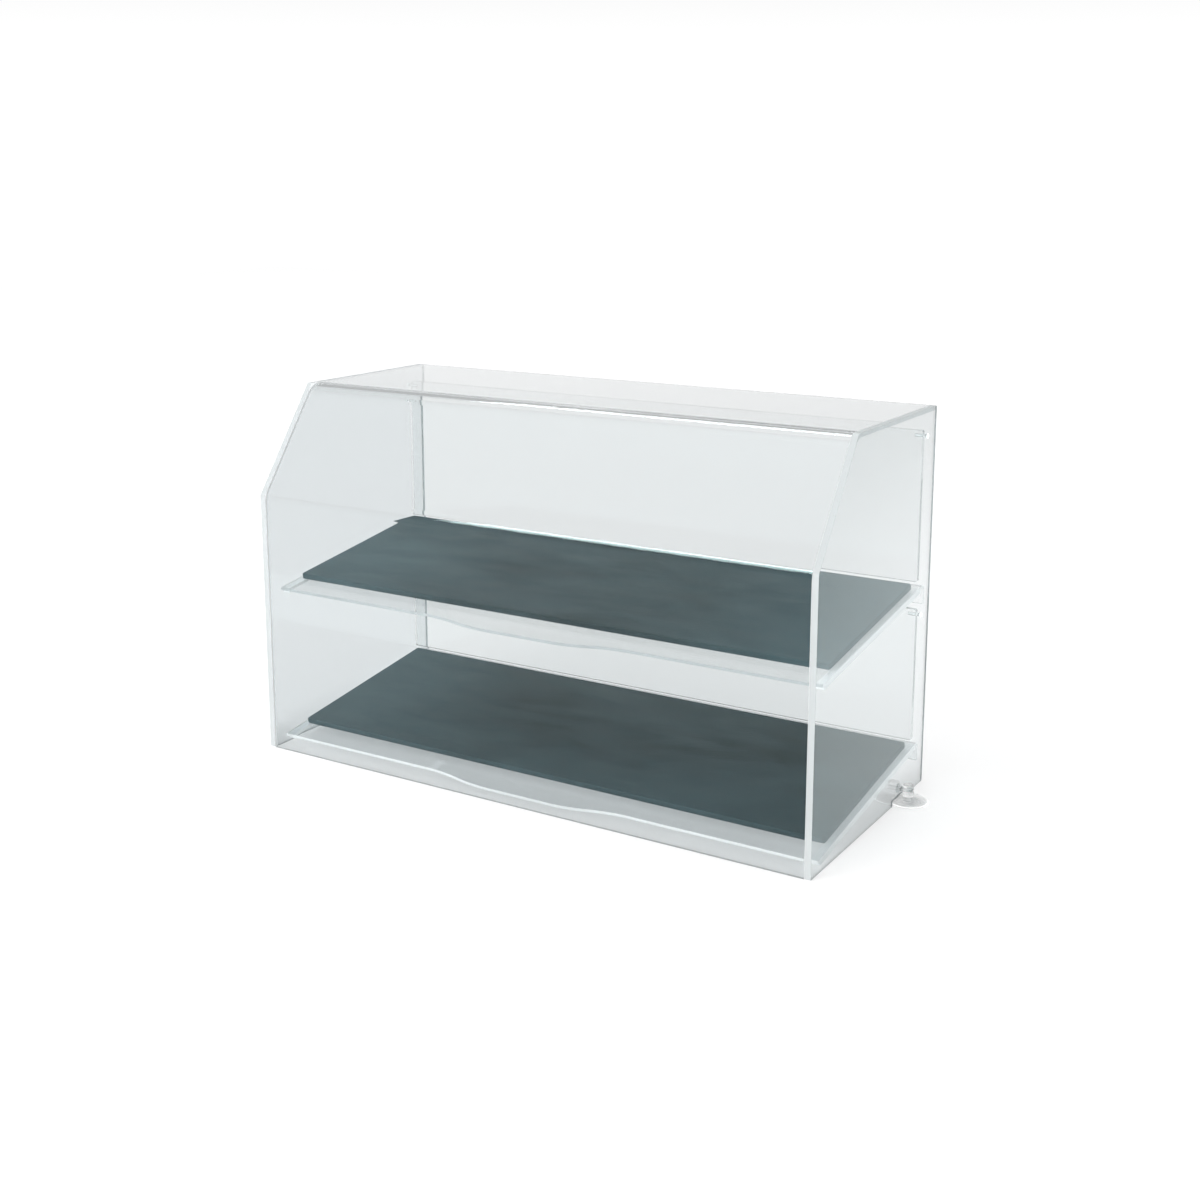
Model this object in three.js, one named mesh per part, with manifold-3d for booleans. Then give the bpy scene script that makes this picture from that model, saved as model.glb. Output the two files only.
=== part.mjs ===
// Countertop display case for pastries: a clear acrylic case with two sloping tiers.
// Two side panels carry a bent hood, two shelves on rails, two trays and two rear doors on pins.
// Millimetres, +Z up. The customer stands at -Y and the doors face +Y.
// The origin is the middle of the case's footprint, on the counter.

import * as THREE from 'three';
import { mergeVertices } from 'three/addons/utils/BufferGeometryUtils.js';
import Module from 'manifold-3d';

const wasm = await Module();
wasm.setup();

// Case
const CASE_WIDTH = 620;
const CASE_DEPTH = 268;
const CASE_HEIGHT = 378;
const FRONT_HEIGHT = 271;
const SLOPE_DEPTH = 77;
const PANEL_THICKNESS = 6;
const PANEL_CORNER_RADIUS = 1.5;
const HOOD_THICKNESS = 5;
const HOOD_BEND_RADIUS = 25;
const GLUE_GAP = 0.3;

// Shelves: the deck slopes down to the front, and a flange turns down at the rear
const SHELF_THICKNESS = 3;
const SHELF_TILT_DEGREES = 8.3;
const SHELF_FRONT_GAP = 20;
const SHELF_REAR_GAP = 9.5;
const SHELF_BEND_RADIUS = 6;
const FLANGE_HEIGHT = 20;
const LOWER_SHELF_RISE = 10;
const TIER_PITCH = 160;
const TAB_REACH = 10;
const TAB_FLAT_WIDTH = 112;
const TAB_BLEND_WIDTH = 40;

// Rails under the shelf ends
const RAIL_WIDTH = 8;
const RAIL_THICKNESS = 3;
const RAIL_END_GAP = 3;

// Trays, which lie loose on the decks
const TRAY_SIDE_GAP = 6;
const TRAY_FRONT_GAP = 27;
const TRAY_DOOR_GAP = 1.3;
const TRAY_THICKNESS = 6;
const TRAY_CORNER_RADIUS = 2.5;
const TRAY_EDGE_ROUND = 1;
const REST_GAP = 0.3;

// Doors and hinge pins
const DOOR_THICKNESS = 5;
const DOOR_REAR_GAP = 22;
const DOOR_SIDE_GAP = 1.5;
const DOOR_DECK_GAP = 7;
const DOOR_TOP_LIP = 5;
const DOOR_CORNER_RADIUS = 2;
const UPPER_HINGE_DROP = 26;
const LOWER_HINGE_DROP = 7.4;
const PIN_WALL = 0.9;
const PIN_CLEARANCE = 0.1;
const PIN_DEPTH_IN_DOOR = 8;
const PIN_END_GAP = 0.5;
const PIN_HEAD_RADIUS = 2.5;
const PIN_HEAD_THICKNESS = 1.2;
const PIN_HEAD_CHAMFER = 0.3;

// Suction cups and the cross pins that hold them to the side panels
const CUP_RADIUS = 20;
const CUP_RIM_WIDTH = 2.5;
const CUP_RIM_THICKNESS = 1.2;
const CUP_DOME_HEIGHT = 5;
const CUP_HOLLOW_HEIGHT = 2.4;
const CUP_HEAD_RADIUS = 5.3;
const CUP_HEIGHT = 17;
const CUP_HEAD_CHAMFER = 0.8;
const CUP_PANEL_GAP = 2.2;
const CUP_REAR_GAP = 57;
const CUP_RECESS_CLEARANCE = 1.5;
const CUP_RECESS_HEADROOM = 0.6;
const CUP_PIN_HEIGHT = 11;
const CUP_PIN_RADIUS = 2;
const CUP_PIN_CLEARANCE = 0.2;
const CUP_PIN_HEAD_RADIUS = 4.5;
const CUP_PIN_HEAD_THICKNESS = 2;
const CUP_PIN_REACH = 9;

// Smoothness of round shapes, and how far a cutter runs past what it cuts
const ARC_STEPS = 8;
const BLEND_STEPS = 12;
const ROUND_SIDES = 32;
const CUT_OVERRUN = 2;

// Sizes that follow from the ones above
const FRONT_Y = -CASE_DEPTH / 2;
const REAR_Y = CASE_DEPTH / 2;
const INNER_WIDTH = CASE_WIDTH - 2 * PANEL_THICKNESS;
const SHELF_TILT = THREE.MathUtils.degToRad(SHELF_TILT_DEGREES);
const SHELF_WIDTH = INNER_WIDTH - 2 * GLUE_GAP;
const SHELF_FRONT_Y = FRONT_Y + SHELF_FRONT_GAP;
const SHELF_RUN = CASE_DEPTH - SHELF_FRONT_GAP - SHELF_REAR_GAP;
const FLANGE_BOTTOM = SHELF_RUN * Math.tan(SHELF_TILT) - FLANGE_HEIGHT;
const UPPER_SHELF_RISE = LOWER_SHELF_RISE + TIER_PITCH;
const HINGE_Y = REAR_Y - DOOR_REAR_GAP - DOOR_THICKNESS / 2;
const TRAY_WIDTH = INNER_WIDTH - 2 * TRAY_SIDE_GAP;
const DECK_BEFORE_DOOR = (HINGE_Y - DOOR_THICKNESS / 2 - SHELF_FRONT_Y) / Math.cos(SHELF_TILT);
const TRAY_DEPTH = DECK_BEFORE_DOOR - TRAY_FRONT_GAP - TRAY_DOOR_GAP;
const DECK_RISE_AT_DOOR = (HINGE_Y - SHELF_FRONT_Y) * Math.tan(SHELF_TILT);
const UPPER_HINGE_Z = CASE_HEIGHT - UPPER_HINGE_DROP;
const LOWER_HINGE_Z = UPPER_SHELF_RISE + FLANGE_BOTTOM - LOWER_HINGE_DROP;
const DOOR_WIDTH = INNER_WIDTH - 2 * DOOR_SIDE_GAP;
const PIN_HOLE_RADIUS = DOOR_THICKNESS / 2 - PIN_WALL;
const PIN_RADIUS = PIN_HOLE_RADIUS - PIN_CLEARANCE;
const CUP_X = CASE_WIDTH / 2 + CUP_PANEL_GAP + CUP_HEAD_RADIUS;
const CUP_Y = REAR_Y - CUP_REAR_GAP;
const CUP_PIN_HOLE_RADIUS = CUP_PIN_RADIUS + CUP_PIN_CLEARANCE;

// Materials
const clearAcrylic = () => new THREE.MeshStandardMaterial({
  color: 0xdfe6e6, roughness: 0.05, metalness: 0, transparent: true, opacity: 0.3,
});
const slateMelamine = () => new THREE.MeshStandardMaterial({
  color: 0x2b3235, roughness: 0.55, metalness: 0,
});
const clearVinyl = () => new THREE.MeshStandardMaterial({
  color: 0xc4cdce, roughness: 0.2, metalness: 0, transparent: true, opacity: 0.5,
});
const clearNylon = () => new THREE.MeshStandardMaterial({
  color: 0xdde2e2, roughness: 0.3, metalness: 0,
});

// Turns a profile drawn in depth and height so that it is extruded across the case
const PROFILE_ACROSS = new THREE.Matrix4().makeBasis(
  new THREE.Vector3(0, 1, 0),
  new THREE.Vector3(0, 0, 1),
  new THREE.Vector3(1, 0, 0),
);

// Points of a round corner, from the line before the corner to the line after it
function roundCorner(before, corner, after, radius) {
  const toBefore = before.clone().sub(corner).normalize();
  const toAfter = after.clone().sub(corner).normalize();
  const halfAngle = Math.acos(toBefore.dot(toAfter)) / 2;
  const inward = toBefore.clone().add(toAfter).normalize();
  const centre = corner.clone().addScaledVector(inward, radius / Math.sin(halfAngle));
  const start = corner.clone().addScaledVector(toBefore, radius / Math.tan(halfAngle));
  const end = corner.clone().addScaledVector(toAfter, radius / Math.tan(halfAngle));
  const fromCentre = start.clone().sub(centre);
  const toEnd = end.clone().sub(centre);
  const turn = Math.atan2(fromCentre.cross(toEnd), fromCentre.dot(toEnd));
  const points = [];
  for (let step = 0; step <= ARC_STEPS; step += 1) {
    points.push(start.clone().rotateAround(centre, turn * step / ARC_STEPS));
  }
  return points;
}

// A closed outline with every corner rounded alike
function roundedOutline(corners, radius) {
  const count = corners.length;
  return corners.flatMap((corner, index) => {
    const before = corners[(index + count - 1) % count];
    const after = corners[(index + 1) % count];
    return roundCorner(before, corner, after, radius);
  });
}

// An open path with its inner corners rounded
function roundedPath(corners, radius) {
  const last = corners.length - 1;
  return corners.flatMap((corner, index) => {
    if (index === 0 || index === last) return [corner.clone()];
    return roundCorner(corners[index - 1], corner, corners[index + 1], radius);
  });
}

// The same path moved to its right by a distance; the path turns only to the right
function pathToTheRight(corners, distance) {
  const last = corners.length - 1;
  return corners.map((corner, index) => {
    if (index === 0 || index === last) {
      const from = corners[Math.max(index - 1, 0)];
      const to = corners[Math.min(index + 1, last)];
      const along = to.clone().sub(from).normalize();
      return corner.clone().addScaledVector(new THREE.Vector2(along.y, -along.x), distance);
    }
    const toBefore = corners[index - 1].clone().sub(corner).normalize();
    const toAfter = corners[index + 1].clone().sub(corner).normalize();
    const halfAngle = Math.acos(toBefore.dot(toAfter)) / 2;
    const inward = toBefore.add(toAfter).normalize();
    return corner.clone().addScaledVector(inward, distance / Math.sin(halfAngle));
  });
}

// The section of a sheet bent along a path, with the path as its outer face
function bentSheetOutline(corners, thickness, outerRadius) {
  const outer = roundedPath(corners, outerRadius);
  const inner = roundedPath(pathToTheRight(corners, thickness), outerRadius - thickness);
  return [...outer, ...inner.reverse()];
}

// A solid of the given outline in depth and height, centred across the case, with round holes
function extrudeAcross(outline, width, holes = []) {
  const shape = new THREE.Shape(outline);
  for (const hole of holes) {
    const path = new THREE.Path();
    path.absarc(hole.y, hole.z, hole.radius, 0, 2 * Math.PI, true);
    shape.holes.push(path);
  }
  const geometry = new THREE.ExtrudeGeometry(shape, {
    depth: width, bevelEnabled: false, curveSegments: ROUND_SIDES / 2,
  });
  geometry.translate(0, 0, -width / 2);
  geometry.applyMatrix4(PROFILE_ACROSS);
  return geometry;
}

// A round bar along X, centred on the origin
function barAcross(radius, length) {
  return new THREE.CylinderGeometry(radius, radius, length, ROUND_SIDES).rotateZ(Math.PI / 2);
}

// A turned piece about Z, from pairs of radius and height that start and end on the axis
function turned(profile) {
  const points = profile.map(([radius, height]) => new THREE.Vector2(radius, height));
  return new THREE.LatheGeometry(points, ROUND_SIDES).rotateX(Math.PI / 2);
}

// A solid for cutting, from a closed geometry
function solidOf(geometry) {
  const bare = geometry.clone();
  bare.deleteAttribute('normal');
  bare.deleteAttribute('uv');
  const welded = mergeVertices(bare);
  return new wasm.Manifold(new wasm.Mesh({
    numProp: 3,
    vertProperties: new Float32Array(welded.attributes.position.array),
    triVerts: new Uint32Array(welded.index.array),
  }));
}

// A geometry from a solid
function geometryOf(solid) {
  const { vertProperties, triVerts } = solid.getMesh();
  const geometry = new THREE.BufferGeometry();
  geometry.setAttribute('position', new THREE.BufferAttribute(vertProperties, 3));
  geometry.setIndex(new THREE.BufferAttribute(triVerts, 1));
  geometry.computeVertexNormals();
  return geometry;
}

// One geometry less the others
function cut(geometry, cutters) {
  let solid = solidOf(geometry);
  for (const cutter of cutters) solid = solid.subtract(solidOf(cutter));
  return geometryOf(solid);
}

// A named piece
function piece(name, geometry, material) {
  const mesh = new THREE.Mesh(geometry, material);
  mesh.name = name;
  return mesh;
}

// A side panel, with pin holes at the rear and a recess that clears the suction cup
function sidePanel(name, side) {
  const recessHalf = CUP_RADIUS + CUP_RECESS_CLEARANCE;
  const recessTop = CUP_DOME_HEIGHT + CUP_RECESS_HEADROOM;
  const corners = [
    new THREE.Vector2(FRONT_Y, 0),
    new THREE.Vector2(CUP_Y - recessHalf, 0),
    new THREE.Vector2(CUP_Y - recessHalf, recessTop),
    new THREE.Vector2(CUP_Y + recessHalf, recessTop),
    new THREE.Vector2(CUP_Y + recessHalf, 0),
    new THREE.Vector2(REAR_Y, 0),
    new THREE.Vector2(REAR_Y, CASE_HEIGHT),
    new THREE.Vector2(FRONT_Y + SLOPE_DEPTH, CASE_HEIGHT),
    new THREE.Vector2(FRONT_Y, FRONT_HEIGHT),
  ];
  const holes = [
    { y: HINGE_Y, z: UPPER_HINGE_Z, radius: PIN_HOLE_RADIUS },
    { y: HINGE_Y, z: LOWER_HINGE_Z, radius: PIN_HOLE_RADIUS },
    { y: CUP_Y, z: CUP_PIN_HEIGHT, radius: CUP_PIN_HOLE_RADIUS },
  ];
  const outline = roundedOutline(corners, PANEL_CORNER_RADIUS);
  const mesh = piece(name, extrudeAcross(outline, PANEL_THICKNESS, holes), clearAcrylic());
  mesh.position.x = side * (CASE_WIDTH - PANEL_THICKNESS) / 2;
  return mesh;
}

// The front, slope and top: one sheet with two bends, between the side panels
function hood() {
  const corners = [
    new THREE.Vector2(FRONT_Y, 0),
    new THREE.Vector2(FRONT_Y, FRONT_HEIGHT),
    new THREE.Vector2(FRONT_Y + SLOPE_DEPTH, CASE_HEIGHT),
    new THREE.Vector2(REAR_Y, CASE_HEIGHT),
  ];
  const outline = bentSheetOutline(corners, HOOD_THICKNESS, HOOD_BEND_RADIUS);
  return piece('hood', extrudeAcross(outline, INNER_WIDTH - 2 * GLUE_GAP), clearAcrylic());
}

// What is cut from one side of a shelf's front edge, so that the tab is left in the middle
function tabCutter(side) {
  const flatEnd = TAB_FLAT_WIDTH / 2;
  const far = SHELF_WIDTH / 2 + CUT_OVERRUN;
  const front = -TAB_REACH - CUT_OVERRUN;
  const shape = new THREE.Shape();
  shape.moveTo(side * far, front);
  shape.lineTo(side * far, 0);
  for (let step = BLEND_STEPS; step >= 0; step -= 1) {
    const share = step / BLEND_STEPS;
    const reach = TAB_REACH * (1 + Math.cos(Math.PI * share)) / 2;
    shape.lineTo(side * (flatEnd + TAB_BLEND_WIDTH * share), -reach);
  }
  shape.lineTo(side * flatEnd, front);
  const depth = SHELF_THICKNESS + 2 * CUT_OVERRUN;
  const cutter = new THREE.ExtrudeGeometry(shape, { depth, bevelEnabled: false });
  return cutter.translate(0, 0, -SHELF_THICKNESS - CUT_OVERRUN).rotateX(SHELF_TILT);
}

// A shelf: sloping deck, bend and rear flange, with its origin on the front edge's upper line
function shelf(name) {
  const corners = [
    new THREE.Vector2(-TAB_REACH * Math.cos(SHELF_TILT), -TAB_REACH * Math.sin(SHELF_TILT)),
    new THREE.Vector2(SHELF_RUN, SHELF_RUN * Math.tan(SHELF_TILT)),
    new THREE.Vector2(SHELF_RUN, FLANGE_BOTTOM),
  ];
  const sheet = extrudeAcross(bentSheetOutline(corners, SHELF_THICKNESS, SHELF_BEND_RADIUS), SHELF_WIDTH);
  return piece(name, cut(sheet, [tabCutter(-1), tabCutter(1)]), clearAcrylic());
}

// A rail under one end of a shelf, bonded to the side panel
function rail(name, side) {
  const deckLength = (SHELF_RUN - SHELF_BEND_RADIUS) / Math.cos(SHELF_TILT);
  const length = deckLength - 2 * RAIL_END_GAP;
  const mesh = piece(name, new THREE.BoxGeometry(RAIL_WIDTH, length, RAIL_THICKNESS), clearAcrylic());
  mesh.position.x = side * (INNER_WIDTH / 2 - GLUE_GAP - RAIL_WIDTH / 2);
  mesh.position.y = RAIL_END_GAP + length / 2;
  mesh.position.z = -SHELF_THICKNESS - REST_GAP - RAIL_THICKNESS / 2;
  return mesh;
}

// A tray: a flat slab with small corner radii and eased edges
function tray(name) {
  const halfWidth = TRAY_WIDTH / 2 - TRAY_EDGE_ROUND;
  const halfDepth = TRAY_DEPTH / 2 - TRAY_EDGE_ROUND;
  const corners = [
    new THREE.Vector2(-halfWidth, -halfDepth),
    new THREE.Vector2(halfWidth, -halfDepth),
    new THREE.Vector2(halfWidth, halfDepth),
    new THREE.Vector2(-halfWidth, halfDepth),
  ];
  const shape = new THREE.Shape(roundedOutline(corners, TRAY_CORNER_RADIUS - TRAY_EDGE_ROUND));
  const slab = new THREE.ExtrudeGeometry(shape, {
    depth: TRAY_THICKNESS - 2 * TRAY_EDGE_ROUND,
    bevelEnabled: true,
    bevelThickness: TRAY_EDGE_ROUND,
    bevelSize: TRAY_EDGE_ROUND,
    bevelSegments: 2,
  });
  slab.translate(0, 0, TRAY_EDGE_ROUND);
  const mesh = piece(name, slab, slateMelamine());
  mesh.position.y = TRAY_FRONT_GAP + TRAY_DEPTH / 2;
  mesh.position.z = REST_GAP;
  return mesh;
}

// A tier: shelf, rails and tray, placed by the front edge of its shelf
function tier(level, rise) {
  const group = new THREE.Group();
  group.position.set(0, SHELF_FRONT_Y, rise);
  const onDeck = new THREE.Group();
  onDeck.rotation.x = SHELF_TILT;
  onDeck.add(tray(`${level}_tray`));
  for (const [hand, side] of [['left', -1], ['right', 1]]) {
    onDeck.add(rail(`${level}_shelf_${hand}_rail`, side));
  }
  group.add(shelf(`${level}_shelf`), onDeck);
  return group;
}

// A door that hangs from its hinge line, with a blind hole for a pin in each end
function door(name, hingeZ, deckRise) {
  const drop = hingeZ - deckRise - DECK_RISE_AT_DOOR - DOOR_DECK_GAP;
  const half = DOOR_WIDTH / 2;
  const corners = [
    new THREE.Vector2(-half, -drop),
    new THREE.Vector2(half, -drop),
    new THREE.Vector2(half, DOOR_TOP_LIP),
    new THREE.Vector2(-half, DOOR_TOP_LIP),
  ];
  const shape = new THREE.Shape(roundedOutline(corners, DOOR_CORNER_RADIUS));
  const plate = new THREE.ExtrudeGeometry(shape, { depth: DOOR_THICKNESS, bevelEnabled: false });
  plate.translate(0, 0, -DOOR_THICKNESS / 2).rotateX(Math.PI / 2);
  const holeLength = 2 * PIN_DEPTH_IN_DOOR;
  const holes = [-1, 1].map((side) => barAcross(PIN_HOLE_RADIUS, holeLength).translate(side * half, 0, 0));
  const mesh = piece(name, cut(plate, holes), clearAcrylic());
  mesh.position.set(0, HINGE_Y, hingeZ);
  return mesh;
}

// A hinge pin: a small head outside the side panel and a shank that ends in the door
function hingePin(name, side, hingeZ) {
  const reachInDoor = PIN_DEPTH_IN_DOOR - PIN_END_GAP;
  const length = PIN_HEAD_THICKNESS + REST_GAP + PANEL_THICKNESS + DOOR_SIDE_GAP + reachInDoor;
  const geometry = turned([
    [0, 0],
    [PIN_HEAD_RADIUS - PIN_HEAD_CHAMFER, 0],
    [PIN_HEAD_RADIUS, PIN_HEAD_CHAMFER],
    [PIN_HEAD_RADIUS, PIN_HEAD_THICKNESS],
    [PIN_RADIUS, PIN_HEAD_THICKNESS],
    [PIN_RADIUS, length],
    [0, length],
  ]);
  const mesh = piece(name, geometry.rotateY(-side * Math.PI / 2), clearAcrylic());
  mesh.position.set(side * (CASE_WIDTH / 2 + REST_GAP + PIN_HEAD_THICKNESS), HINGE_Y, hingeZ);
  return mesh;
}

// A suction cup: thin rim, shallow dome, hollow underside, and a head with a cross hole
function suctionCup(name, side) {
  const body = turned([
    [0, CUP_HOLLOW_HEIGHT],
    [CUP_RADIUS - CUP_RIM_WIDTH, 0],
    [CUP_RADIUS, 0],
    [CUP_RADIUS, CUP_RIM_THICKNESS],
    [CUP_HEAD_RADIUS, CUP_DOME_HEIGHT],
    [CUP_HEAD_RADIUS, CUP_HEIGHT - CUP_HEAD_CHAMFER],
    [CUP_HEAD_RADIUS - CUP_HEAD_CHAMFER, CUP_HEIGHT],
    [0, CUP_HEIGHT],
  ]);
  const holeLength = 2 * (CUP_HEAD_RADIUS + CUT_OVERRUN);
  const hole = barAcross(CUP_PIN_HOLE_RADIUS, holeLength).translate(0, 0, CUP_PIN_HEIGHT);
  const mesh = piece(name, cut(body, [hole]), clearVinyl());
  mesh.position.set(side * CUP_X, CUP_Y, 0);
  return mesh;
}

// A cross pin: a flat head inside the panel and a shank that ends in the cup's head
function cupPin(name, side) {
  const shank = REST_GAP + PANEL_THICKNESS + CUP_PANEL_GAP + CUP_PIN_REACH;
  const length = CUP_PIN_HEAD_THICKNESS + shank;
  const geometry = turned([
    [0, 0],
    [CUP_PIN_HEAD_RADIUS, 0],
    [CUP_PIN_HEAD_RADIUS, CUP_PIN_HEAD_THICKNESS],
    [CUP_PIN_RADIUS, CUP_PIN_HEAD_THICKNESS],
    [CUP_PIN_RADIUS, length],
    [0, length],
  ]);
  const mesh = piece(name, geometry.rotateY(side * Math.PI / 2), clearNylon());
  mesh.position.set(side * (INNER_WIDTH / 2 - REST_GAP - CUP_PIN_HEAD_THICKNESS), CUP_Y, CUP_PIN_HEIGHT);
  return mesh;
}

const displayCase = new THREE.Group();
displayCase.add(hood());
displayCase.add(tier('upper', UPPER_SHELF_RISE), tier('lower', LOWER_SHELF_RISE));
displayCase.add(door('upper_door', UPPER_HINGE_Z, UPPER_SHELF_RISE));
displayCase.add(door('lower_door', LOWER_HINGE_Z, LOWER_SHELF_RISE));
for (const [hand, side] of [['left', -1], ['right', 1]]) {
  displayCase.add(sidePanel(`${hand}_side_panel`, side));
  displayCase.add(hingePin(`upper_${hand}_hinge_pin`, side, UPPER_HINGE_Z));
  displayCase.add(hingePin(`lower_${hand}_hinge_pin`, side, LOWER_HINGE_Z));
  displayCase.add(suctionCup(`${hand}_suction_cup`, side));
  displayCase.add(cupPin(`${hand}_cup_pin`, side));
}

export default displayCase;
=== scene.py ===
"""Countertop display case in clear acrylic.

A bent hood between two side panels, two sloping shelves with slate-look trays, and two hinged rear doors.

Metres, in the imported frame: +X to the customer's right, +Y to the rear, where the doors are, +Z up,
origin in the middle of the footprint, on the counter.
Pieces are drawn in millimetres and scaled at the end.
"""

import math

import bmesh
import bpy
from mathutils import Matrix, Vector


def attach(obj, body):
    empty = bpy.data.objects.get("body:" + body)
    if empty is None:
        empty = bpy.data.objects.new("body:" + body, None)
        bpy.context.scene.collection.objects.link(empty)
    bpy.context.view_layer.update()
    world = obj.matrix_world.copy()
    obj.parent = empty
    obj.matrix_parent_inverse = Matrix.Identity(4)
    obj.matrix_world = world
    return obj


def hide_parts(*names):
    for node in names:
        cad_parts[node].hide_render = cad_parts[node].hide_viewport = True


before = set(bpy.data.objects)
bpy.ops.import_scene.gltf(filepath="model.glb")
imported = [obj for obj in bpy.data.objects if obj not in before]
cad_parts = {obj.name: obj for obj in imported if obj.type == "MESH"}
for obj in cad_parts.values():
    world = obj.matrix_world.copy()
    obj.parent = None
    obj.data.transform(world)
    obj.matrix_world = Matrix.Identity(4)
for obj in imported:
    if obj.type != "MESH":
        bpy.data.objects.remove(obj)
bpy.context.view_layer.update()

MM = 0.001

# Case, in millimetres
CASE_HALF_WIDTH = 310
CASE_HALF_DEPTH = 134
CASE_HEIGHT = 378
FRONT_HEIGHT = 271
SLOPE_DEPTH = 77
PANEL_THICKNESS = 6
PANEL_CORNER_RADIUS = 1.5
HOOD_HALF_WIDTH = 303.7
HOOD_THICKNESS = 5
HOOD_BEND_RADIUS = 25
EASED_EDGE = 0.15

# Shelves and their rails
SHELF_HALF_WIDTH = 303.7
SHELF_THICKNESS = 3
SHELF_TILT = math.radians(8.3)
SHELF_FRONT_Y = -114
SHELF_RUN = 238.5
SHELF_BEND_RADIUS = 6
FLANGE_HEIGHT = 20
TAB_REACH = 10
TAB_HALF_FLAT = 56
TAB_HALF_FOOT = 96
TAB_BLEND = 19
UPPER_SHELF_RISE = 170
LOWER_SHELF_RISE = 10
RAIL_WIDTH = 8
RAIL_THICKNESS = 3
RAIL_END_GAP = 3
REST_GAP = 0.3

# Trays
TRAY_HALF_WIDTH = 298
TRAY_DEPTH = 195.04
TRAY_THICKNESS = 6
TRAY_FRONT_GAP = 27
TRAY_CORNER_RADIUS = 2.5
TRAY_EDGE_ROUND = 1

# Doors and hinge pins
DOOR_HALF_WIDTH = 302.5
DOOR_THICKNESS = 5
DOOR_CORNER_RADIUS = 2
DOOR_TOP_LIP = 5
DOOR_END_GAP = CASE_HALF_WIDTH - PANEL_THICKNESS - DOOR_HALF_WIDTH
HINGE_Y = 109.5
UPPER_HINGE_Z = 352
LOWER_HINGE_Z = 177.393
UPPER_DOOR_BOTTOM = 209.61
LOWER_DOOR_BOTTOM = 49.61
PIN_HOLE_RADIUS = 1.6
PIN_RADIUS = 1.5
PIN_HOLE_DEPTH = 8
PIN_END_GAP = 0.5
PIN_HEAD_RADIUS = 2.5
PIN_HEAD_THICKNESS = 1.2
PIN_EDGE_ROUND = 0.25

# Suction cups: hollow below, a thin rim, and a cone that rises to a round head
CUP_X = 317.5
CUP_Y = 77
CUP_RADIUS = 20
CUP_HOLLOW_RADIUS = 17.5
CUP_HOLLOW_DEPTH = 2.4
CUP_RIM = 1.2
CUP_SHOULDER = 5
CUP_HEAD_RADIUS = 5.3
CUP_HEIGHT = 17
CUP_EDGE_ROUND = 0.5
CUP_RECESS_HALF = 21.5
CUP_RECESS_TOP = 5.6

# Cross pins of the cups
CUP_PIN_Z = 11
CUP_PIN_RADIUS = 2
CUP_PIN_HOLE_RADIUS = 2.2
CUP_PIN_HEAD_RADIUS = 4.5
CUP_PIN_HEAD_THICKNESS = 2
CUP_PIN_INNER_X = 301.7
CUP_PIN_OUTER_X = 321.2
CUP_PIN_EDGE_ROUND = 0.4

# Drills are longer than what they go through
PANEL_DRILL = 3 * PANEL_THICKNESS
CUP_DRILL = 16

# Points closer than WELD are one, and a face faces a way when the cosine between them is above FACING
WELD = 0.001
FACING = 0.95

# Finishes, in metres: standing sheets may be painted greyer below FOOT_ZONE and above HEAD_ZONE, a painted
# shade towards the counter and the top
FOOT_ZONE = 0.04
HEAD_ZONE = 0.19
HAZE_PATCH = 0.055
SWELL_LENGTH = 0.09
CUTTER_MARK = 0.003
CEMENT_PATCH = 0.006
SLATE_DRIFT = 0.05
SLATE_CLEFT = 0.02
SLATE_PATCH = 0.35
ACRYLIC_IOR = 1.49
MELAMINE_IOR = 1.5

# Camera and room, in metres, the lens in millimetres
CAMERA_PLACE = (0.82253, -1.31262, 0.60161)
CAMERA_YAW = math.radians(31.576)
CAMERA_PITCH = math.radians(11.161)
SENSOR_WIDTH = 36
FOCAL_LENGTH = 47.77
LENS_SHIFT = -0.1
COUNTER_HALF = 6
BOUNCES = 400


# Camera

lens = bpy.data.cameras.new("camera")
lens.sensor_width = SENSOR_WIDTH
lens.lens = FOCAL_LENGTH
lens.shift_y = LENS_SHIFT
camera = bpy.data.objects.new("camera", lens)
camera.location = CAMERA_PLACE
camera.rotation_euler = (math.pi / 2 - CAMERA_PITCH, 0, CAMERA_YAW)
bpy.context.scene.collection.objects.link(camera)
bpy.context.scene.camera = camera


# Finishes

def ink(code):
    """An sRGB hex value as linear RGBA."""
    parts = [int(code[i:i + 2], 16) / 255 for i in (1, 3, 5)]
    return (*[p / 12.92 if p <= 0.04045 else ((p + 0.055) / 1.055) ** 2.4 for p in parts], 1)


def add(tree, kind, inputs=None, **settings):
    """Add a node; each input is given a value, or linked where the value is another node's output."""
    node = tree.nodes.new(kind)
    for name, value in settings.items():
        setattr(node, name, value)
    for socket, value in (inputs or {}).items():
        if isinstance(value, bpy.types.NodeSocket):
            tree.links.new(value, node.inputs[socket])
        else:
            node.inputs[socket].default_value = value
    return node


def new_finish(name):
    """An empty node material, its nodes, and the place on the piece that its patterns follow."""
    material = bpy.data.materials.new(name)
    material.use_nodes = True
    tree = material.node_tree
    tree.nodes.clear()
    return material, tree, add(tree, "ShaderNodeTexCoord").outputs["Object"]


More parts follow.
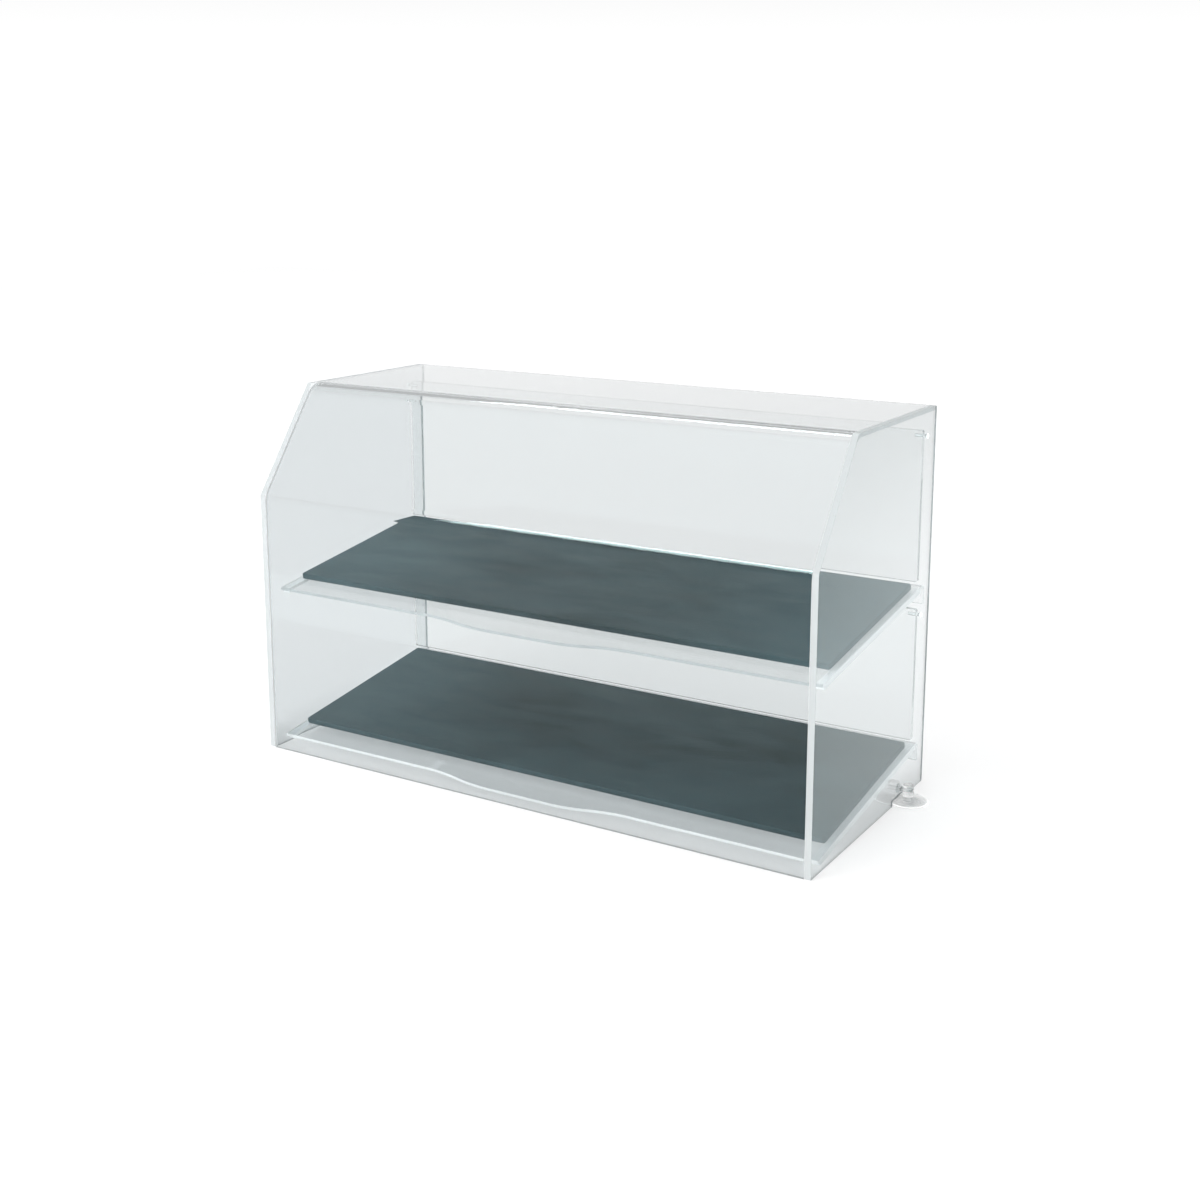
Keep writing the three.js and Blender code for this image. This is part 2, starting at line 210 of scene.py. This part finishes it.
def painted_shade_grade(tree, place, colour, low, high):
    """A standing sheet's colour with painted shade, of which the shares low and high are left at the foot
    and at the top.
    """
    height = add(tree, "ShaderNodeSeparateXYZ", {"Vector": place}).outputs["Z"]
    foot = add(tree, "ShaderNodeMapRange", {
        "Value": height, "From Min": 0, "From Max": FOOT_ZONE, "To Min": low, "To Max": 1},
        interpolation_type="SMOOTHSTEP")
    head = add(tree, "ShaderNodeMapRange", {
        "Value": height, "From Min": HEAD_ZONE, "From Max": CASE_HEIGHT * MM, "To Min": 1, "To Max": high})
    left = add(tree, "ShaderNodeMath", {0: foot.outputs["Result"], 1: head.outputs["Result"]},
               operation="MULTIPLY")
    scaled = add(tree, "ShaderNodeVectorMath", {0: colour[:3], "Scale": left.outputs["Value"]},
                 operation="SCALE")
    return scaled.outputs["Vector"]


def clear_plastic(name, code, roughness=0.0, haze=0.012, ripple=0.00002, low=1, high=1,
                  shine=(0.42, 0.55, 0.56, 1)):
    """A clear plastic: a polished face with a faint haze and a slow ripple; lamps shine through it.

    Haze is the most roughness that is added in patches, and ripple the height of the waves in metres. Low
    and high, below 1, paint shade onto the colour at the foot and the top.
    """
    material, tree, place = new_finish(name)
    colour = ink(code)
    tint = painted_shade_grade(tree, place, colour, low, high) if low < 1 or high < 1 else colour
    patches = add(tree, "ShaderNodeTexNoise", {
        "Vector": place, "Scale": 1 / HAZE_PATCH, "Detail": 3, "Roughness": 0.55})
    gloss = add(tree, "ShaderNodeMapRange", {
        "Value": patches.outputs["Fac"], "From Min": 0.35, "From Max": 0.75,
        "To Min": roughness, "To Max": roughness + haze})
    swell = add(tree, "ShaderNodeTexNoise", {
        "Vector": place, "Scale": 1 / SWELL_LENGTH, "Detail": 1, "Roughness": 0.4})
    bump = add(tree, "ShaderNodeBump", {"Height": swell.outputs["Fac"], "Strength": 1, "Distance": ripple})
    solid = add(tree, "ShaderNodeBsdfPrincipled", {
        "Base Color": tint, "Roughness": gloss.outputs["Result"], "IOR": ACRYLIC_IOR,
        "Specular Tint": shine, "Transmission Weight": 1, "Normal": bump.outputs["Normal"]})
    through = add(tree, "ShaderNodeBsdfTransparent", {"Color": colour})
    path = add(tree, "ShaderNodeLightPath")
    both = add(tree, "ShaderNodeMixShader", {
        0: path.outputs["Is Shadow Ray"], 1: solid.outputs["BSDF"], 2: through.outputs["BSDF"]})
    add(tree, "ShaderNodeOutputMaterial", {"Surface": both.outputs["Shader"]})
    return material


def milled_acrylic(name, code, glow=0):
    """Cut acrylic: frosted, with fine marks of the cutter; glow is a painted glow that stands for light
    its sheet has gathered.
    """
    material, tree, place = new_finish(name)
    colour = ink(code)
    cutter = add(tree, "ShaderNodeTexNoise", {
        "Vector": place, "Scale": 1 / CUTTER_MARK, "Detail": 2, "Roughness": 0.5})
    frost = add(tree, "ShaderNodeMapRange", {
        "Value": cutter.outputs["Fac"], "From Min": 0.35, "From Max": 0.65, "To Min": 0.35, "To Max": 0.5})
    marks = add(tree, "ShaderNodeBump", {
        "Height": cutter.outputs["Fac"], "Strength": 0.2, "Distance": 0.00005})
    surface = add(tree, "ShaderNodeBsdfPrincipled", {
        "Base Color": colour, "Roughness": frost.outputs["Result"], "IOR": ACRYLIC_IOR,
        "Transmission Weight": 0.35, "Normal": marks.outputs["Normal"],
        "Emission Color": colour, "Emission Strength": glow})
    add(tree, "ShaderNodeOutputMaterial", {"Surface": surface.outputs["BSDF"]})
    return material


def cement_joint():
    """Sheet ends cemented to the side panels: a thin milky film with a painted glow that stands for the
    panels' light passed on.
    """
    material, tree, place = new_finish("cemented_joint_painted_glow")
    film = add(tree, "ShaderNodeTexNoise", {
        "Vector": place, "Scale": 1 / CEMENT_PATCH, "Detail": 2, "Roughness": 0.5})
    wet = add(tree, "ShaderNodeMapRange", {
        "Value": film.outputs["Fac"], "From Min": 0.35, "From Max": 0.65, "To Min": 0.3, "To Max": 0.5})
    # The emission is a painted glow
    surface = add(tree, "ShaderNodeBsdfPrincipled", {
        "Base Color": ink("#F6F8F8"), "Roughness": wet.outputs["Result"], "IOR": ACRYLIC_IOR,
        "Emission Color": ink("#EDF0F1"), "Emission Strength": 0.35})
    add(tree, "ShaderNodeOutputMaterial", {"Surface": surface.outputs["BSDF"]})
    return material


def slate_look():
    """Melamine moulded with a slate face: charcoal with drifts of lighter grey, matt, shallow clefts, and
    broad paler patches that are partly print and partly painted light.
    """
    material, tree, place = new_finish("slate_look_melamine")
    # The grain runs nearly along the tray and is drawn out that way
    grain = add(tree, "ShaderNodeMapping", {
        "Vector": place, "Scale": (0.35, 1, 1), "Rotation": (0, 0, 0.12)})
    drifts = add(tree, "ShaderNodeTexNoise", {
        "Vector": grain.outputs["Vector"], "Scale": 1 / SLATE_DRIFT,
        "Detail": 5, "Roughness": 0.6, "Distortion": 0.6})
    tone = add(tree, "ShaderNodeValToRGB", {"Fac": drifts.outputs["Fac"]})
    dark, light = tone.color_ramp.elements
    dark.position, dark.color = 0.34, ink("#16272B")
    light.position, light.color = 0.68, ink("#36494E")
    clefts = add(tree, "ShaderNodeTexNoise", {
        "Vector": grain.outputs["Vector"], "Scale": 1 / SLATE_CLEFT,
        "Detail": 2, "Roughness": 0.5, "Distortion": 0.2})
    bump = add(tree, "ShaderNodeBump", {
        "Height": clefts.outputs["Fac"], "Strength": 0.5, "Distance": 0.00008})
    matt = add(tree, "ShaderNodeMapRange", {
        "Value": clefts.outputs["Fac"], "From Min": 0.3, "From Max": 0.7, "To Min": 0.42, "To Max": 0.6})
    # The broad paler patches are partly the print's own drift and partly painted light; the location picks
    # where they fall on the trays
    broad = add(tree, "ShaderNodeMapping", {
        "Vector": place, "Scale": [1 / SLATE_PATCH] * 3, "Location": (8.9, 28.42, 18.87)})
    print_and_light_patches = add(tree, "ShaderNodeTexNoise", {"Vector": broad.outputs["Vector"], "Scale": 1, "Detail": 0})
    share = add(tree, "ShaderNodeMapRange", {
        "Value": print_and_light_patches.outputs["Fac"], "From Min": 0.33, "From Max": 0.7, "To Min": 0, "To Max": 0.85})
    colour = add(tree, "ShaderNodeMix", {
        0: share.outputs["Result"], 6: tone.outputs["Color"], 7: ink("#4A6369")}, data_type="RGBA")
    surface = add(tree, "ShaderNodeBsdfPrincipled", {
        "Base Color": colour.outputs[2], "Roughness": matt.outputs["Result"], "IOR": MELAMINE_IOR,
        "Specular IOR Level": 0.2, "Normal": bump.outputs["Normal"]})
    add(tree, "ShaderNodeOutputMaterial", {"Surface": surface.outputs["BSDF"]})
    return material


# Cast acrylic, laser cut and polished: water clear with a faint cool grey cast, and a hard gloss
clear_acrylic = clear_plastic("clear_cast_acrylic", "#EDF0F1")
# The hood is tinted a shade greyer than the flat sheets and painted greyer towards the counter, a painted
# shade; the doors are tinted a shade clearer
hood_acrylic = clear_plastic("clear_bent_acrylic", "#E8EBEC", low=0.85)
door_acrylic = clear_plastic("clear_door_acrylic", "#F4F6F6")
# The upper shelf is tinted lighter than the lower one, a painted lightening so that it hardly shows
# against the light, while the lower one looks grey over the counter
faint_acrylic = clear_plastic("clear_upper_shelf_acrylic", "#FBFCFC")
# The side panels are painted greyer towards the counter, and the right one towards the top too: painted
# shade. The right one's reflections are also tinted teal, a painted reflection
panel_acrylic = {
    "left": clear_plastic("clear_left_panel_acrylic", "#EDF0F1", low=0.79),
    "right": clear_plastic("clear_right_panel_acrylic", "#EDF0F1", low=0.79, high=0.77,
                           shine=(0.42, 0.95, 1, 1)),
}
# Milled edges are a frosty white, but painted grey at the foot and the rear, a painted shade where they
# look away from the light
acrylic_edge = milled_acrylic("milled_acrylic_edge", "#DADFE0")
grey_edge = milled_acrylic("shaded_acrylic_edge", "#868E90")
# The lower shelf's front edge has a painted glow, standing for the light of its sheet
bright_edge = milled_acrylic("glowing_acrylic_edge", "#F8FAFA", glow=0.32)
# Turned acrylic rod: the hinge pins have a painted glow, standing for the light of the panels that they
# sit in
pin_acrylic = milled_acrylic("turned_acrylic_rod", "#F4F7F7", glow=0.3)
joint_cement = cement_joint()
slate_melamine = slate_look()
# Soft clear vinyl, moulded: slightly milky and less glossy than acrylic
clear_vinyl = clear_plastic("clear_moulded_vinyl", "#FAFBFB", roughness=0.15, haze=0.1, ripple=0.00004)
# Natural nylon, moulded: clear in thin parts, with a waxy blur
clear_nylon = clear_plastic("clear_moulded_nylon", "#F0F2F2", roughness=0.3, haze=0.1)


# Making pieces

def outline(corners, radii, steps=6):
    """A flat face in X and Y, each corner rounded to its radius."""
    bm = bmesh.new()
    ring = [bm.verts.new((x, y, 0)) for x, y in corners]
    bm.faces.new(ring)
    count = len(ring)
    places = [v.co.copy() for v in ring]
    for i, radius in enumerate(radii):
        if radius:
            before = places[i - 1] - places[i]
            after = places[(i + 1) % count] - places[i]
            reach = radius / math.tan(before.angle(after) / 2)
            bmesh.ops.bevel(bm, geom=[ring[i]], offset=reach, offset_type="OFFSET", segments=steps,
                            profile=0.5, affect="VERTICES", material=-1, clamp_overlap=False)
    return bm


def thicken(bm, thickness):
    """Grow a flat face upwards into a plate, or downwards where the thickness is negative."""
    push(bm, bm.faces[:], (0, 0, thickness))
    bmesh.ops.recalc_face_normals(bm, faces=bm.faces)


def push(bm, faces, way):
    """Extrude faces along a way, and give back the moved faces."""
    grown = bmesh.ops.extrude_face_region(bm, geom=faces)["geom"]
    bmesh.ops.translate(bm, vec=way, verts=[v for v in grown if isinstance(v, bmesh.types.BMVert)])
    return [f for f in grown if isinstance(f, bmesh.types.BMFace)]


def bend(bm, faces, centre, angle, steps):
    """Sweep end faces about an axis along X through the centre, and give back the swept end."""
    swept = bmesh.ops.spin(bm, geom=faces, cent=centre, axis=(1, 0, 0), angle=angle, steps=steps)
    return [f for f in swept["geom_last"] if isinstance(f, bmesh.types.BMFace)]


def mill(bm, *away):
    """Give a plate's edges the second finish, and the third, a painted shade, where they face the given
    ways in X and Y.
    """
    for face in bm.faces:
        if abs(face.normal.z) < FACING:
            shaded = any(face.normal.dot(Vector((*way, 0))) > FACING for way in away)
            face.material_index = 2 if shaded else 1


def finish_ends(bm, number):
    """Give the left and right ends the finish with this number."""
    for face in bm.faces:
        if abs(face.normal.x) > FACING:
            face.material_index = number


def close(bm):
    """Weld a grown sheet and take out the faces left inside it."""
    bmesh.ops.remove_doubles(bm, verts=bm.verts, dist=WELD)
    inside = [f for f in bm.faces if all(len(e.link_faces) > 2 for e in f.edges)]
    bmesh.ops.delete(bm, geom=inside, context="FACES_ONLY")
    bmesh.ops.recalc_face_normals(bm, faces=bm.faces)


def ease(bm, width, steps=2, above=28):
    """Round the edges that turn by more than some degrees."""
    sharp = [e for e in bm.edges if e.is_manifold and e.calc_face_angle() > math.radians(above)]
    bmesh.ops.bevel(bm, geom=sharp, offset=width, offset_type="OFFSET", segments=steps, profile=0.5,
                    affect="EDGES", material=-1, clamp_overlap=True)


def turn(profile, steps):
    """A turned solid about Z from pairs of radius and height that start and end on the axis."""
    bm = bmesh.new()
    line = [bm.verts.new((r, 0, z)) for r, z in profile]
    edges = [bm.edges.new(pair) for pair in zip(line, line[1:])]
    bmesh.ops.spin(bm, geom=line + edges, cent=(0, 0, 0), axis=(0, 0, 1), angle=2 * math.pi,
                   steps=steps, use_merge=True)
    bmesh.ops.remove_doubles(bm, verts=bm.verts, dist=WELD)
    bmesh.ops.recalc_face_normals(bm, faces=bm.faces)
    return bm


def headed_pin(head_radius, head_thickness, shank_radius, length, edge_round):
    """A round pin along Z with a flat head at its foot."""
    pin = turn([(0, 0), (head_radius, 0), (head_radius, head_thickness),
                (shank_radius, head_thickness), (shank_radius, length), (0, length)], steps=48)
    ease(pin, edge_round, steps=3, above=60)
    return pin


def lay(bm, *moves):
    """Turn and move a whole piece."""
    for move in moves:
        bmesh.ops.transform(bm, matrix=move, verts=bm.verts)


def finish_piece(name, bm, materials, body, replaced):
    """Scale to metres, make the object, attach it to its body, and hide the CAD node that it replaces."""
    bmesh.ops.scale(bm, vec=(MM, MM, MM), verts=bm.verts)
    bmesh.ops.recalc_face_normals(bm, faces=bm.faces)
    mesh = bpy.data.meshes.new(name)
    bm.to_mesh(mesh)
    bm.free()
    mesh.shade_smooth()
    mesh.set_sharp_from_angle(angle=math.radians(35))
    for material in materials:
        mesh.materials.append(material)
    piece = bpy.data.objects.new(name, mesh)
    bpy.context.scene.collection.objects.link(piece)
    piece.modifiers.new("flat faces stay flat", "WEIGHTED_NORMAL").keep_sharp = True
    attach(piece, body)
    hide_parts(replaced)


def bore(bm, bars):
    """Drill round holes along X: each bar is its middle and its radius and length."""
    drill = bmesh.new()
    for centre, radius, length in bars:
        bmesh.ops.create_cone(drill, cap_ends=True, segments=40, radius1=radius, radius2=radius,
                              depth=length,
                              matrix=Matrix.Translation(centre) @ Matrix.Rotation(math.pi / 2, 4, "Y"))
    objects = []
    for label, part in (("drilled", bm), ("drill", drill)):
        mesh = bpy.data.meshes.new(label)
        part.to_mesh(mesh)
        part.free()
        objects.append(bpy.data.objects.new(label, mesh))
        bpy.context.scene.collection.objects.link(objects[-1])
    blank, tool = objects
    cut = blank.modifiers.new("bore", "BOOLEAN")
    cut.operation = "DIFFERENCE"
    cut.solver = "EXACT"
    cut.object = tool
    drilled = bmesh.new()
    drilled.from_object(blank, bpy.context.evaluated_depsgraph_get())
    # Taking away a mesh takes its helper object with it
    for part in objects:
        bpy.data.meshes.remove(part.data)
    return drilled


# A profile drawn in X and Y and thickened in Z is turned so that it is drawn in Y and Z and thick in X
ACROSS = Matrix(((0, 0, 1, 0), (1, 0, 0, 0), (0, 1, 0, 0), (0, 0, 0, 1)))


def on_deck(rise):
    """The place of a deck: its front edge's upper line, tilted up to the rear."""
    return Matrix.Translation((0, SHELF_FRONT_Y, rise)) @ Matrix.Rotation(SHELF_TILT, 4, "X")


# Side panels

for hand, side in (("left", -1), ("right", 1)):
    panel = outline(
        [(-CASE_HALF_DEPTH, 0), (CUP_Y - CUP_RECESS_HALF, 0), (CUP_Y - CUP_RECESS_HALF, CUP_RECESS_TOP),
         (CUP_Y + CUP_RECESS_HALF, CUP_RECESS_TOP), (CUP_Y + CUP_RECESS_HALF, 0), (CASE_HALF_DEPTH, 0),
         (CASE_HALF_DEPTH, CASE_HEIGHT), (SLOPE_DEPTH - CASE_HALF_DEPTH, CASE_HEIGHT),
         (-CASE_HALF_DEPTH, FRONT_HEIGHT)],
        [PANEL_CORNER_RADIUS] * 9)
    thicken(panel, PANEL_THICKNESS)
    mill(panel, (1, 0), (0, -1))
    ease(panel, EASED_EDGE)
    inner = CASE_HALF_WIDTH - PANEL_THICKNESS
    lay(panel, ACROSS, Matrix.Translation((inner if side > 0 else -CASE_HALF_WIDTH, 0, 0)))
    middle = side * (CASE_HALF_WIDTH - PANEL_THICKNESS / 2)
    panel = bore(panel, [((middle, HINGE_Y, UPPER_HINGE_Z), PIN_HOLE_RADIUS, PANEL_DRILL),
                         ((middle, HINGE_Y, LOWER_HINGE_Z), PIN_HOLE_RADIUS, PANEL_DRILL),
                         ((middle, CUP_Y, CUP_PIN_Z), CUP_PIN_HOLE_RADIUS, PANEL_DRILL)])
    finish_piece(f"{hand}_panel_sheet", panel, [panel_acrylic[hand], acrylic_edge, grey_edge],
                 "case", f"{hand}_side_panel")


# Hood

def bent_hood():
    """The hood goes up the front, over the slope and back: straight runs and bends round a former."""
    slope = math.atan2(CASE_HEIGHT - FRONT_HEIGHT, SLOPE_DEPTH)
    turns = (math.pi / 2 - slope, slope)
    tangents = [HOOD_BEND_RADIUS * math.tan(angle / 2) for angle in turns]
    face_length = math.hypot(SLOPE_DEPTH, CASE_HEIGHT - FRONT_HEIGHT)
    runs = (FRONT_HEIGHT - tangents[0], face_length - sum(tangents),
            2 * CASE_HALF_DEPTH - SLOPE_DEPTH - tangents[1])
    bm = bmesh.new()
    place = Vector((0, -CASE_HALF_DEPTH, 0))
    heading = Vector((0, 0, 1))
    inward = Vector((0, 1, 0))
    half = Vector((HOOD_HALF_WIDTH, 0, 0))
    depth = HOOD_THICKNESS * inward
    section = [place - half, place + half, place + half + depth, place - half + depth]
    end = [bm.faces.new([bm.verts.new(corner) for corner in section])]
    for number, run in enumerate(runs):
        end = push(bm, end, heading * run)
        place = place + heading * run
        if number < len(turns):
            centre = place + inward * HOOD_BEND_RADIUS
            end = bend(bm, end, centre, -turns[number], steps=20)
            swing = Matrix.Rotation(-turns[number], 3, "X")
            place = centre + swing @ (place - centre)
            heading = swing @ heading
            inward = swing @ inward
    close(bm)
    finish_ends(bm, 1)
    # The hood's foot edge takes the grey edge finish, a painted shade
    for face in bm.faces:
        if face.normal.z < -FACING and face.calc_center_median().z < HOOD_THICKNESS:
            face.material_index = 2
    ease(bm, EASED_EDGE)
    return bm


finish_piece("hood_sheet", bent_hood(), [hood_acrylic, joint_cement, grey_edge],
             "case", "hood")


# Shelves and rails

def bent_shelf(rise):
    """The deck is cut with its front tab, bent down at the rear over a former, and tilted."""
    bend_angle = math.pi / 2 + SHELF_TILT
    tangent = SHELF_BEND_RADIUS * math.tan(bend_angle / 2)
    deck_length = SHELF_RUN / math.cos(SHELF_TILT) - tangent
    blend_radius = TAB_BLEND / math.tan(math.atan2(TAB_REACH, TAB_HALF_FOOT - TAB_HALF_FLAT) / 2)
    bm = outline(
        [(-SHELF_HALF_WIDTH, 0), (-TAB_HALF_FOOT, 0), (-TAB_HALF_FLAT, -TAB_REACH),
         (TAB_HALF_FLAT, -TAB_REACH), (TAB_HALF_FOOT, 0), (SHELF_HALF_WIDTH, 0),
         (SHELF_HALF_WIDTH, deck_length), (-SHELF_HALF_WIDTH, deck_length)],
        [0, *[blend_radius] * 4, 0, 0, 0], steps=12)
    thicken(bm, -SHELF_THICKNESS)
    for face in bm.faces:
        face.material_index = int(face.normal.y < -FACING)
    end = [f for f in bm.faces if f.normal.y > FACING]
    end = bend(bm, end, (0, deck_length, -SHELF_BEND_RADIUS), -bend_angle, steps=24)
    along = Matrix.Rotation(-bend_angle, 3, "X") @ Vector((0, 1, 0))
    push(bm, end, along * (FLANGE_HEIGHT - tangent))
    close(bm)
    finish_ends(bm, 2)
    ease(bm, EASED_EDGE)
    lay(bm, on_deck(rise))
    return bm


def sawn_bar(width, length, thickness, middle, rise):
    """A sawn bar with eased edges, laid on a deck's slope."""
    bm = bmesh.new()
    bmesh.ops.create_cube(bm, size=1)
    bmesh.ops.scale(bm, vec=(width, length, thickness), verts=bm.verts)
    ease(bm, EASED_EDGE)
    lay(bm, Matrix.Translation(middle), on_deck(rise))
    return bm


rail_length = (SHELF_RUN - SHELF_BEND_RADIUS) / math.cos(SHELF_TILT) - 2 * RAIL_END_GAP
for level, rise, sheet, front in (("upper", UPPER_SHELF_RISE, faint_acrylic, acrylic_edge),
                                  ("lower", LOWER_SHELF_RISE, clear_acrylic, bright_edge)):
    finish_piece(f"{level}_shelf_sheet", bent_shelf(rise), [sheet, front, joint_cement],
                 "case", f"{level}_shelf")
    for hand, side in (("left", -1), ("right", 1)):
        middle = (side * (SHELF_HALF_WIDTH - RAIL_WIDTH / 2), RAIL_END_GAP + rail_length / 2,
                  -SHELF_THICKNESS - REST_GAP - RAIL_THICKNESS / 2)
        rail = sawn_bar(RAIL_WIDTH, rail_length, RAIL_THICKNESS, middle, rise)
        finish_piece(f"{level}_shelf_{hand}_bar", rail, [joint_cement],
                     "case", f"{level}_shelf_{hand}_rail")


# Trays

for level, rise in (("upper", UPPER_SHELF_RISE), ("lower", LOWER_SHELF_RISE)):
    slab = outline(
        [(-TRAY_HALF_WIDTH, 0), (TRAY_HALF_WIDTH, 0),
         (TRAY_HALF_WIDTH, TRAY_DEPTH), (-TRAY_HALF_WIDTH, TRAY_DEPTH)],
        [TRAY_CORNER_RADIUS] * 4, steps=8)
    thicken(slab, TRAY_THICKNESS)
    ease(slab, TRAY_EDGE_ROUND, steps=4)
    lay(slab, Matrix.Translation((0, TRAY_FRONT_GAP, REST_GAP)), on_deck(rise))
    finish_piece(f"{level}_slate_tray", slab, [slate_melamine],
                 f"{level}_tray", f"{level}_tray")


# Doors and hinge pins

for level, hinge_z, bottom in (("upper", UPPER_HINGE_Z, UPPER_DOOR_BOTTOM),
                               ("lower", LOWER_HINGE_Z, LOWER_DOOR_BOTTOM)):
    top = hinge_z + DOOR_TOP_LIP
    leaf = outline(
        [(-DOOR_HALF_WIDTH, bottom), (DOOR_HALF_WIDTH, bottom),
         (DOOR_HALF_WIDTH, top), (-DOOR_HALF_WIDTH, top)],
        [DOOR_CORNER_RADIUS] * 4)
    thicken(leaf, DOOR_THICKNESS)
    ease(leaf, EASED_EDGE)
    lay(leaf, Matrix.Translation((0, 0, -DOOR_THICKNESS / 2)), Matrix.Rotation(math.pi / 2, 4, "X"),
        Matrix.Translation((0, HINGE_Y, 0)))
    # Each drill is half in the door, so that its hole is blind
    leaf = bore(leaf, [((side * DOOR_HALF_WIDTH, HINGE_Y, hinge_z), PIN_HOLE_RADIUS, 2 * PIN_HOLE_DEPTH)
                       for side in (-1, 1)])
    finish_piece(f"{level}_door_leaf", leaf, [door_acrylic],
                 f"{level}_door", f"{level}_door")
    for hand, side in (("left", -1), ("right", 1)):
        length = (PIN_HEAD_THICKNESS + REST_GAP + PANEL_THICKNESS + DOOR_END_GAP
                  + PIN_HOLE_DEPTH - PIN_END_GAP)
        pin = headed_pin(PIN_HEAD_RADIUS, PIN_HEAD_THICKNESS, PIN_RADIUS, length, PIN_EDGE_ROUND)
        head_x = side * (CASE_HALF_WIDTH + REST_GAP + PIN_HEAD_THICKNESS)
        lay(pin, Matrix.Rotation(-side * math.pi / 2, 4, "Y"),
            Matrix.Translation((head_x, HINGE_Y, hinge_z)))
        finish_piece(f"{level}_{hand}_turned_pin", pin, [pin_acrylic],
                     "case", f"{level}_{hand}_hinge_pin")


# Suction cups and cross pins

for hand, side in (("left", -1), ("right", 1)):
    cup = turn([(0, CUP_HOLLOW_DEPTH), (CUP_HOLLOW_RADIUS, 0), (CUP_RADIUS, 0), (CUP_RADIUS, CUP_RIM),
                (CUP_HEAD_RADIUS, CUP_SHOULDER), (CUP_HEAD_RADIUS, CUP_HEIGHT), (0, CUP_HEIGHT)], steps=96)
    ease(cup, CUP_EDGE_ROUND, steps=3, above=40)
    lay(cup, Matrix.Translation((side * CUP_X, CUP_Y, 0)))
    cup = bore(cup, [((side * CUP_X, CUP_Y, CUP_PIN_Z), CUP_PIN_HOLE_RADIUS, CUP_DRILL)])
    finish_piece(f"{hand}_cup", cup, [clear_vinyl], "case", f"{hand}_suction_cup")
    pin = headed_pin(CUP_PIN_HEAD_RADIUS, CUP_PIN_HEAD_THICKNESS, CUP_PIN_RADIUS,
                     CUP_PIN_OUTER_X - CUP_PIN_INNER_X, CUP_PIN_EDGE_ROUND)
    lay(pin, Matrix.Rotation(side * math.pi / 2, 4, "Y"),
        Matrix.Translation((side * CUP_PIN_INNER_X, CUP_Y, CUP_PIN_Z)))
    finish_piece(f"{hand}_cross_pin", pin, [clear_nylon], "case", f"{hand}_cup_pin")


# Floor and light

def pale_floor():
    """A matt white counter with a faint glow of its own, a little stronger far from the case."""
    material, tree, place = new_finish("white_counter")
    away = add(tree, "ShaderNodeVectorMath", {0: place}, operation="LENGTH")
    lift = add(tree, "ShaderNodeMapRange", {
        "Value": away.outputs["Value"], "From Min": 0.5, "From Max": 3, "To Min": 0.55, "To Max": 0.67})
    surface = add(tree, "ShaderNodeBsdfPrincipled", {
        "Base Color": ink("#C0C0C0"), "Roughness": 1, "Specular IOR Level": 0,
        "Emission Color": (1, 1, 1, 1), "Emission Strength": lift.outputs["Result"]})
    add(tree, "ShaderNodeOutputMaterial", {"Surface": surface.outputs["BSDF"]})
    bm = bmesh.new()
    bmesh.ops.create_grid(bm, x_segments=1, y_segments=1, size=COUNTER_HALF)
    mesh = bpy.data.meshes.new("counter")
    bm.to_mesh(mesh)
    bm.free()
    mesh.materials.append(material)
    floor = bpy.data.objects.new("counter", mesh)
    bpy.context.scene.collection.objects.link(floor)


def softbox(name, place, target, size, watts, mirrored=False):
    """A soft light that faces a point; a mirrored one only gives the highlights on the bends."""
    light = bpy.data.lights.new(name, "AREA")
    light.shape = "RECTANGLE"
    light.size, light.size_y = size
    light.energy = watts
    lamp = bpy.data.objects.new(name, light)
    lamp.location = place
    lamp.visible_transmission = False
    lamp.visible_glossy = mirrored
    lamp.visible_diffuse = not mirrored
    lamp.rotation_euler = (Vector(target) - Vector(place)).to_track_quat("-Z", "Y").to_euler()
    bpy.context.scene.collection.objects.link(lamp)


def pale_room():
    """White all round at the height of the counter, greyer overhead."""
    world = bpy.data.worlds.new("studio")
    world.use_nodes = True
    sky = world.node_tree
    sky.nodes.clear()
    way = add(sky, "ShaderNodeTexCoord").outputs["Generated"]
    aim = add(sky, "ShaderNodeSeparateXYZ", {"Vector": way})
    fall = add(sky, "ShaderNodeMapRange", {
        "Value": aim.outputs["Z"], "From Min": 0.04, "From Max": 0.28, "To Min": 1.04, "To Max": 0.55},
        interpolation_type="SMOOTHSTEP")
    glow = add(sky, "ShaderNodeBackground", {"Color": (1, 1, 1, 1), "Strength": fall.outputs["Result"]})
    add(sky, "ShaderNodeOutputWorld", {"Surface": glow.outputs["Background"]})
    bpy.context.scene.world = world


pale_floor()
softbox("key_light", place=(-0.9, -2.6, 1.3), target=(0, 0, 0.2), size=(1.4, 1.4), watts=50)
softbox("top_light", place=(0, 0, 5), target=(0, 0, 0), size=(8, 8), watts=135)
softbox("front_highlight", place=(-1.35, -2.5, 1.4), target=(-1.35, 0, 1.4), size=(1.2, 0.7), watts=60,
        mirrored=True)
softbox("top_highlight", place=(-1.07, 0.89, 2.4), target=(-1.07, 0.89, 0), size=(1.14, 0.6), watts=24,
        mirrored=True)
pale_room()
bpy.context.scene.view_settings.view_transform = "Standard"
# Light that runs along inside the sheets needs many bounces to come out at the far edge
bpy.context.scene.cycles.max_bounces = BOUNCES
bpy.context.scene.cycles.transmission_bounces = BOUNCES
bpy.context.scene.cycles.glossy_bounces = BOUNCES
